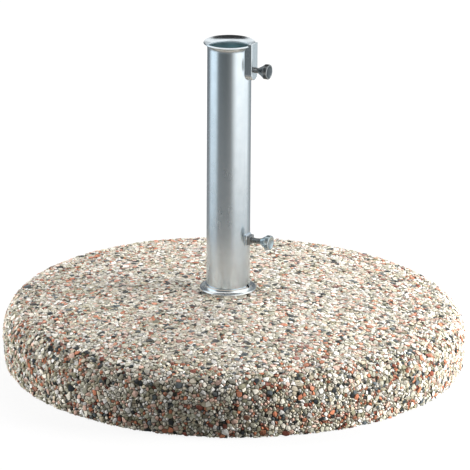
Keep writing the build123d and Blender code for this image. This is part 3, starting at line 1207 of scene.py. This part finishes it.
@dataclass
class ThumbScrew:
    """A thumb screw: a threaded shank and the knurled head that turns on its stub."""

    place: Place
    shank: TurnedNode
    head: TurnedNode
    pitch: float
    ridges: int = 44
    ridge_depth: float = 0.0003
    thread_depth: float = 0.00058
    round_steps: int = 40

    @staticmethod
    def _around(profile: np.ndarray, count: int) -> np.ndarray:
        """Turns an outline of (along, off) into rings about x."""
        turn, off = turns(count), profile[:, 1:2]
        along = np.repeat(profile[:, 0:1], count, 1)
        return np.stack([along, off * np.cos(turn), off * np.sin(turn)], -1)

    def build_shank(self) -> bpy.types.Object:
        """The shank, with a helical thread as deep as a real one, and its stub."""
        node = self.shank
        tip, end = float(node.along.min()), float(node.along.max())
        crest = float(node.off.max())
        shoulder = float(node.along[node.off > crest - 1e-5].max())
        stub = node.reach_at(end)
        steps = np.arange(tip, shoulder, self.pitch / 8)
        turn = turns(self.round_steps)
        phase = (steps[:, None] / self.pitch - turn[None] / (2 * math.pi)) % 1.0
        valley = np.clip(1.25 - np.abs(phase - 0.5) * 4, 0, 1)
        ends = np.minimum(steps - tip, shoulder - steps)[:, None]
        run_out = np.clip(1 - ends / (1.1 * self.pitch), 0, 1)
        off = crest - self.thread_depth * np.maximum(valley, 0.95 * run_out)
        along = np.repeat(steps[:, None], self.round_steps, 1)
        rings = np.stack([along, off * np.cos(turn), off * np.sin(turn)], -1)
        point = [(tip, 0.0), (tip, 0.55 * crest)]
        finish = [
            (shoulder, 0.8 * crest), (shoulder, stub), (end - 0.0003, stub), (end, 0.88 * stub), (end, 0.0),
        ]
        first, last = (self._around(np.array(outline), self.round_steps) for outline in (point, finish))
        rings = np.concatenate([first, rings, last])
        return self._turned(f"{self.place.value}_thread", rings, self.shank)

    def build_head(self) -> bpy.types.Object:
        """The head: a cone behind a knurled rim, a dished face, and the socket for the stub."""
        node = self.head
        neck, face = float(node.along.min()), float(node.along.max())
        rim = float(node.off.max())
        back = float(node.along[node.off > rim - 8e-4].min())
        neck_off = node.reach_at(neck)
        dish_off = float(np.unique(np.round(node.off[node.along > face - 1e-5], 5)).min())
        inside = node.off < 0.4 * rim
        socket = float(np.median(node.off[inside & (abs(node.along - neck) < 1e-5)]))
        bottom = float(node.along[inside & (abs(node.off - socket) < 1e-5)].max())
        dish = float(node.along[node.off < 1e-4].max())
        groove = rim - 2.2 * self.ridge_depth
        edge, crease = 0.0006, 0.0003
        cone = ((0.25, 0.16), (0.5, 0.40), (0.75, 0.70))
        outline = [
            (bottom, 0.0), (bottom, 0.97 * socket), (bottom - 0.0001, socket), (neck + 0.0002, socket),
            (neck, socket + 0.0002), (neck, neck_off - crease), (neck + crease, neck_off),
            *((neck + far * (back - neck), neck_off + out * (groove - neck_off)) for far, out in cone),
            (back - crease, groove - 0.0002), (back, groove),
            (back + 0.35 * edge, rim - 0.4 * edge), (back + edge, rim),
        ]
        flank, lip = face - back - 2 * edge, 0.00012
        outline += [(back + edge + flank * k / 4, rim) for k in (1, 2, 3, 4)]
        outline += [
            (face - 0.35 * edge, rim - 0.4 * edge), (face, groove - 0.0001),
            (face, dish_off + 0.0004), (face - lip, dish_off + 0.0001),
        ]
        for turn in (k * math.pi / 12 for k in (1, 2, 3, 4, 5, 6)):
            outline.append((face - lip - (face - dish - lip) * math.sin(turn), dish_off * math.cos(turn)))
        profile = np.array(outline)
        profile[-1, 1] = 0.0
        rings = self._around(profile, 4 * self.ridges)
        wave = np.tile([0.0, 0.5, 1.0, 0.5], self.ridges)
        knurled = (profile[:, 1] > rim - 0.5 * edge) & (profile[:, 0] > back)
        shrink = 1 - np.outer(knurled, wave) * (self.ridge_depth / rim)
        rings[..., 1:] *= shrink[..., None]
        piece = self._turned(f"{self.place.value}_knob", rings, self.head)
        sharpen(piece, 38)
        return piece

    @staticmethod
    def _turned(name: str, rings: np.ndarray, node: TurnedNode) -> bpy.types.Object:
        """Makes a closed piece of rings whose first and last have shrunk to a point."""
        piece = mesh_piece(name, node.put(rings.reshape(-1, 3)), [lofted(rings, closed=False)])
        face_outwards(piece, weld=1e-7)
        return piece


@dataclass
class SquareNut:
    """A square nut with rubbed corners, bored for its screw."""

    place: Place
    node: TurnedNode
    corner: float = 0.0007
    edge: float = 0.0004
    countersink: float = 0.0006
    steps: int = 64

    def ring(self, half: float, corner: float, along: float) -> np.ndarray:
        """A square ring with rounded corners.

        Args:
            half: Half the square's width.
            corner: Its corners' radius.
            along: Its place along the screw.

        Returns:
            The ring's points.
        """
        turn = turns(self.steps, 0.5)
        across, up = np.cos(turn), np.sin(turn)
        most = np.maximum(abs(across), abs(up))
        square = np.stack([across, up], 1) / most[:, None] * half
        core = np.clip(square, -(half - corner), half - corner)
        away = square - core
        far = np.maximum(np.linalg.norm(away, axis=1), 1e-12)
        rounded = core + away / far[:, None] * np.minimum(far, corner)[:, None]
        return np.column_stack([np.full(self.steps, along), rounded])

    def build(self) -> bpy.types.Object:
        """Builds the nut between its two faces."""
        back, face = float(self.node.along.min()), float(self.node.along.max())
        half = float(self.node.across.max())
        bore = float(self.node.off.min())
        turn = turns(self.steps, 0.5)
        rings = []
        for along, inward in ((back, 1), (face, -1)):
            square = [self.ring(half - less * self.edge, self.corner, along + deep * self.edge * inward)
                      for less, deep in ((0.0, 1.0), (0.3, 0.3), (1.0, 0.0))]
            hole = ((along, bore + self.countersink), (along + self.countersink * inward, bore))
            holes = [np.column_stack([np.full(self.steps, x), on_disc(off, turn)]) for x, off in hole]
            rings.append(square + holes)
        loop = np.array(rings[0] + rings[1][::-1])
        name = f"{self.place.value}_square_nut"
        piece = mesh_piece(name, self.node.put(loop.reshape(-1, 3)), [lofted(loop, True)])
        face_outwards(piece)
        sharpen(piece, 35)
        return piece


@dataclass
class WeldBead:
    """The lumpy bead that joins the lower nut to the tube's round wall."""

    node: TurnedNode
    tube_radius: float
    nut_half: float
    seed: int = 3
    steps: int = 144
    lumps: int = 26

    def build(self) -> bpy.types.Object:
        """Sweeps an uneven bead round the nut.

        Returns:
            The bead.
        """
        rng = np.random.default_rng(self.seed)
        rise = float(self.node.along.max()) - self.tube_radius
        spread = float(self.node.across.max()) - self.nut_half
        turn = turns(self.steps)
        path = on_disc(1.0, turn)
        path /= np.maximum(abs(path[:, 0]), abs(path[:, 1]))[:, None]
        beat = 0.82 + 0.18 * np.abs(np.sin(turn * self.lumps / 2))
        slow = 1 + 0.12 * np.sin(3 * turn + rng.random() * 6) + 0.06 * np.sin(7 * turn + rng.random() * 6)
        rings = []
        section = ((0.02, 0.0), (0.02, 0.85), (0.22, 1.0), (0.5, 0.86), (0.8, 0.5), (0.97, 0.12), (0.9, 0.0))
        for share, lift in section:
            out = self.nut_half + 0.00002 + share * spread * beat * slow
            flat = path * out[:, None]
            wall = np.sqrt(np.maximum(self.tube_radius**2 - flat[:, 0] ** 2, 0))
            along = wall + lift * rise * beat * slow * (0.75 + 0.25 * wall / self.tube_radius)
            rings.append(np.column_stack([along, flat]))
        loop = np.array(rings)
        piece = mesh_piece("nut_weld_bead", self.node.put(loop.reshape(-1, 3)), [lofted(loop, True)])
        face_outwards(piece)
        return piece


# ---- Stage ---------------------------------------------------------------------------------------


@dataclass(frozen=True)
class Lamp:
    """A soft square lamp that shows in no reflection."""

    name: str
    spot: Colour
    aim: Colour
    size: float
    power: float
    colour: Colour

    def hang(self) -> None:
        """Hangs the lamp."""
        data = bpy.data.lights.new(self.name, "AREA")
        data.shape, data.size, data.energy, data.color = "SQUARE", self.size, self.power, self.colour
        lamp = bpy.data.objects.new(self.name, data)
        bpy.context.scene.collection.objects.link(lamp)
        lamp.location = self.spot
        lamp.rotation_mode = "QUATERNION"
        lamp.rotation_quaternion = (Vector(self.aim) - Vector(self.spot)).to_track_quat("-Z", "Y")
        lamp.visible_glossy = False


@dataclass
class Studio:
    """A plain pale floor, soft lights, and the camera."""

    eye: Colour = (0.0, -3.972, 1.4319)
    tilt: float = 18.03
    pan: float = 0.104
    roll: float = 0.371
    lens: float = 297.4
    sensor: float = 36.0
    clip: tuple[float, float] = (0.05, 60.0)
    floor_half: float = 9.0
    floor_drop: float = 0.0002
    floor_glow: float = 1.02
    floor_glow_share: float = 0.85
    floor_seen: Colour = (0.86, 0.86, 0.86)
    floor_thrown: Colour = (0.22, 0.22, 0.21)
    room_light: float = 0.31
    room_reflected: float = 0.04
    tent_radius: float = 0.46
    tent_height: float = 0.8
    tent_steps: int = 96
    tent_low: Colour = (0.40, 0.41, 0.42)
    tent_high: Colour = (1.15, 1.17, 1.18)
    lamps: tuple[Lamp, ...] = (
        Lamp("top_light", (0.75, 1.9, 1.4), (0.05, 0.0, 0.05), 1.9, 58.0, (1.0, 0.99, 0.985)),
        Lamp("right_light", (1.75, -0.3, 0.45), (0.1, 0.0, 0.05), 0.8, 75.0, (1.0, 0.99, 0.98)),
        Lamp("left_light", (-1.8, 0.2, 0.45), (-0.1, 0.0, 0.05), 0.9, 43.0, (1.0, 1.0, 1.0)),
    )

    def camera(self) -> None:
        """Makes the camera, a long lens a little above the base."""
        data = bpy.data.cameras.new("camera")
        data.lens, data.sensor_width = self.lens, self.sensor
        data.clip_start, data.clip_end = self.clip
        camera = bpy.data.objects.new("camera", data)
        bpy.context.scene.collection.objects.link(camera)
        tilt, pan, roll = (math.radians(a) for a in (self.tilt, self.pan, self.roll))
        ahead = Vector((math.sin(pan) * math.cos(tilt), math.cos(pan) * math.cos(tilt), -math.sin(tilt)))
        right = Vector((math.cos(pan), -math.sin(pan), 0))
        up = right.cross(ahead)
        cos, sin = math.cos(roll), math.sin(roll)
        right, up = cos * right + sin * up, cos * up - sin * right
        turn = Matrix((right, up, -ahead)).transposed().to_4x4()
        camera.matrix_world = Matrix.Translation(self.eye) @ turn
        bpy.context.scene.camera = camera

    def floor(self) -> None:
        """Lays the floor, which looks nearly white but throws little light back."""
        corners = np.array([(-1, -1, 0), (1, -1, 0), (1, 1, 0), (-1, 1, 0)], float) * self.floor_half
        piece = mesh_piece("floor", corners, [np.array([[0, 1, 2, 3]])], smooth=False)
        piece.location.z = -self.floor_drop
        material = bpy.data.materials.new("pale floor")
        material.use_nodes = True
        sheet = NodeSheet(material.node_tree)
        seen = sheet.add("LightPath").outputs["Is Camera Ray"]
        paint = sheet.add("BsdfDiffuse", None, Color=self.floor_seen)
        glow = sheet.add("Emission", None, Color=(1.0, 1.0, 1.0), Strength=self.floor_glow)
        dim = sheet.add("BsdfDiffuse", None, Color=self.floor_thrown)
        pale, choice = sheet.add("MixShader"), sheet.add("MixShader")
        for node, values in ((pale, (self.floor_glow_share, paint.outputs[0], glow.outputs[0])),
                             (choice, (seen, dim.outputs[0], pale.outputs[0]))):
            for index, value in enumerate(values):
                sheet.feed(node.inputs[index], value)
        sheet.add("OutputMaterial", None, Surface=choice.outputs[0])
        piece.data.materials.append(material)

    def world(self) -> None:
        """Lights the room evenly and dimly; the camera sees it white."""
        world = bpy.data.worlds.new("room")
        world.use_nodes = True
        bpy.context.scene.world = world
        sheet = NodeSheet(world.node_tree)
        ray = sheet.add("LightPath").outputs
        room = sheet.spread(ray["Is Glossy Ray"], 0.0, 1.0, self.room_light, self.room_reflected)
        strength = sheet.math("ADD", room, ray["Is Camera Ray"])
        back = sheet.add("Background", None, Color=(1.0, 1.0, 1.0), Strength=strength)
        sheet.add("OutputWorld", None, Surface=back.outputs[0])

    def tent(self) -> None:
        """Stands a round screen about the base, seen only in reflections: bright cards and dark gaps."""
        turn = turns(self.tent_steps)
        around = self.tent_radius * np.stack([np.sin(turn), -np.cos(turn)], 1)
        levels = (np.full(self.tent_steps, z) for z in (0.0, self.tent_height))
        rings = np.array([np.column_stack([around, level]) for level in levels])
        piece = mesh_piece("reflection_tent", rings.reshape(-1, 3), [lofted(rings, closed=False)])
        material = bpy.data.materials.new("tent")
        material.use_nodes = True
        sheet = NodeSheet(material.node_tree)
        split = sheet.add("SeparateXYZ", None, Vector=sheet.add("TexCoord").outputs["Object"])
        away = sheet.math("MULTIPLY", split.outputs["Y"], -1.0)
        angle = sheet.math("ARCTAN2", split.outputs["X"], away)
        ramp = sheet.add("ValToRGB", None, Fac=sheet.spread(angle, -math.pi, math.pi))
        self._cards(ramp.color_ramp)
        low = sheet.spread(split.outputs["Z"], 0.0, 0.26, 0.6, 0.0)
        colour = sheet.blend(low, ramp.outputs[0], self.tent_low)
        colour = sheet.blend(sheet.spread(split.outputs["Z"], 0.40, 0.50), colour, self.tent_high)
        glow = sheet.add("Emission", None, Color=colour, Strength=1.0)
        sheet.add("OutputMaterial", None, Surface=glow.outputs[0])
        piece.data.materials.append(material)
        piece.visible_camera = piece.visible_diffuse = piece.visible_shadow = False
        piece.visible_transmission = False

    @staticmethod
    def _cards(ramp: bpy.types.ColorRamp) -> None:
        """Sets the tent's cards, by the angle from the camera's side: minus is left."""
        cards = (
            (-180, (0.14, 0.16, 0.18)), (-122, (0.14, 0.16, 0.18)), (-106, (1.0, 1.18, 1.32)),
            (-72, (1.0, 1.18, 1.32)), (-56, (0.12, 0.14, 0.15)), (-12, (0.08, 0.095, 0.10)),
            (10, (0.18, 0.19, 0.19)), (36, (1.35, 1.41, 1.44)), (108, (1.35, 1.41, 1.44)),
            (120, (0.62, 0.70, 0.74)), (134, (0.34, 0.38, 0.40)), (180, (0.20, 0.22, 0.24)),
        )
        fill_ramp(ramp, [((angle + 180) / 360, colour) for angle, colour in cards])

    def build(self) -> None:
        """Sets the whole stage."""
        bpy.context.scene.view_settings.view_transform = "Standard"
        self.camera()
        self.floor()
        self.world()
        self.tent()
        for lamp in self.lamps:
            lamp.hang()


# ---- The base ------------------------------------------------------------------------------------


class ParasolBase:
    """The whole base: builds each piece, dresses it and lets it ride on its body."""

    def __init__(self, frame: dict[str, Any]) -> None:
        """Keeps the frame and makes every finish.

        Args:
            frame: The loaded frame.
        """
        self.frame = frame
        self.nodes = frame["nodes"]
        workshop = Workshop(Effects())
        mount = next(m for m in frame["record"]["mounts"] if m["name"] == "pole_bore")
        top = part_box("tube")[1].z
        bore = Bore(mount["dims"]["r_mm"] / 1000 + 0.0003, top)
        finishes = {
            Slot.AGGREGATE: WashedAggregate(),
            Slot.TUBE: PlatedSteel((0.77, 0.82, 0.85), (0.64, 0.69, 0.72), 0.2, 0.3,
                                   stretch=(1.0, 1.0, 0.03), dust=0.05, bore=bore),
            Slot.COLLAR: PlatedSteel((0.95, 0.96, 0.95), (0.80, 0.82, 0.82), 0.14, 0.22),
            Slot.SCREW: PlatedSteel((0.62, 0.72, 0.75), (0.36, 0.43, 0.46), 0.2, 0.34),
            # Darker copy of the screw zinc, painted shade for darker reflections.
            Slot.HANDLED: PlatedSteel((0.17, 0.19, 0.20), (0.045, 0.05, 0.055), 0.22, 0.4, wear=0.8),
            Slot.NUT: PlatedSteel((0.30, 0.32, 0.33), (0.11, 0.11, 0.11), 0.32, 0.5),
            Slot.BLACK: PlatedSteel((0.20, 0.19, 0.18), (0.09, 0.085, 0.08), 0.42, 0.6, wear=0.2),
        }
        self.materials = {
            slot: finish.material(slot.value.replace("_", " ").replace(":", " "), workshop)
            for slot, finish in finishes.items()
        }

    def dress(self, piece: bpy.types.Object, slot: Slot) -> None:
        """Gives a piece its finish."""
        piece.data.materials.clear()
        piece.data.materials.append(self.materials[slot])

    def stand_in(self, piece: bpy.types.Object, slot: Slot, body: str, node: str) -> None:
        """Lets a built piece take a CAD node's place.

        Args:
            piece: The built piece.
            slot: Its finish.
            body: The body that it rides on.
            node: The CAD node that it replaces.
        """
        self.dress(piece, slot)
        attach(piece, body)
        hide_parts(node)
        LOG.info("%s rides on %s for %s: %d faces", piece.name, body, node, len(piece.data.polygons))

    def keep(self, node: str, slot: Slot) -> None:
        """Keeps a CAD node's own shape under a better finish."""
        self.dress(self.nodes[node], slot)
        LOG.info("%s keeps its shape", node)

    def build_stone(self) -> None:
        """Builds the stone."""
        stone = AggregateStone(self.nodes["stone_body"])
        self.stand_in(stone.build(), Slot.AGGREGATE, "base", "stone_body")

    def build_screws(self) -> None:
        """Builds both thumb screws, their nuts and the lower nut's weld."""
        ratio = next(c["ratio"] for c in self.frame["record"]["behaviour"]["couplings"])
        tube_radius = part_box("foot_disc")[1].x
        for place in Place:
            axis, side = screw_axis(self.frame, place), place.value
            shank = TurnedNode(self.nodes[f"{side}_screw_shank"], axis)
            head = TurnedNode(self.nodes[f"{side}_screw_head"], axis)
            screw = ThumbScrew(place, shank, head, pitch=ratio * 2 * math.pi)
            # The shanks and the upper head take the darker copy of the zinc, a painted shade.
            self.stand_in(screw.build_shank(), Slot.HANDLED, f"{side}_screw", f"{side}_screw_shank")
            finish = Slot.HANDLED if place is Place.UPPER else Slot.SCREW
            self.stand_in(screw.build_head(), finish, f"{side}_knob", f"{side}_screw_head")
            nut = SquareNut(place, TurnedNode(self.nodes[f"{side}_nut"], axis))
            self.stand_in(nut.build(), Slot.NUT, "base", f"{side}_nut")
            if place is Place.LOWER:
                half = float(nut.node.across.max())
                weld = TurnedNode(self.nodes["lower_nut_weld"], axis)
                bead = WeldBead(weld, tube_radius, half)
                self.stand_in(bead.build(), Slot.TUBE, "base", "lower_nut_weld")

    def build(self) -> None:
        """Builds every piece in order."""
        self.build_stone()
        self.keep("tube", Slot.TUBE)
        self.keep("foot_collar", Slot.COLLAR)
        self.keep("foot_disc", Slot.BLACK)
        self.keep("anchor_bars", Slot.BLACK)
        self.build_screws()


def main() -> None:
    """Loads the frame, and builds the base and its stage."""
    logging.basicConfig(level=logging.INFO, format="%(name)s: %(message)s")
    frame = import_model()
    ParasolBase(frame).build()
    Studio().build()


if __name__ == "__main__":
    main()
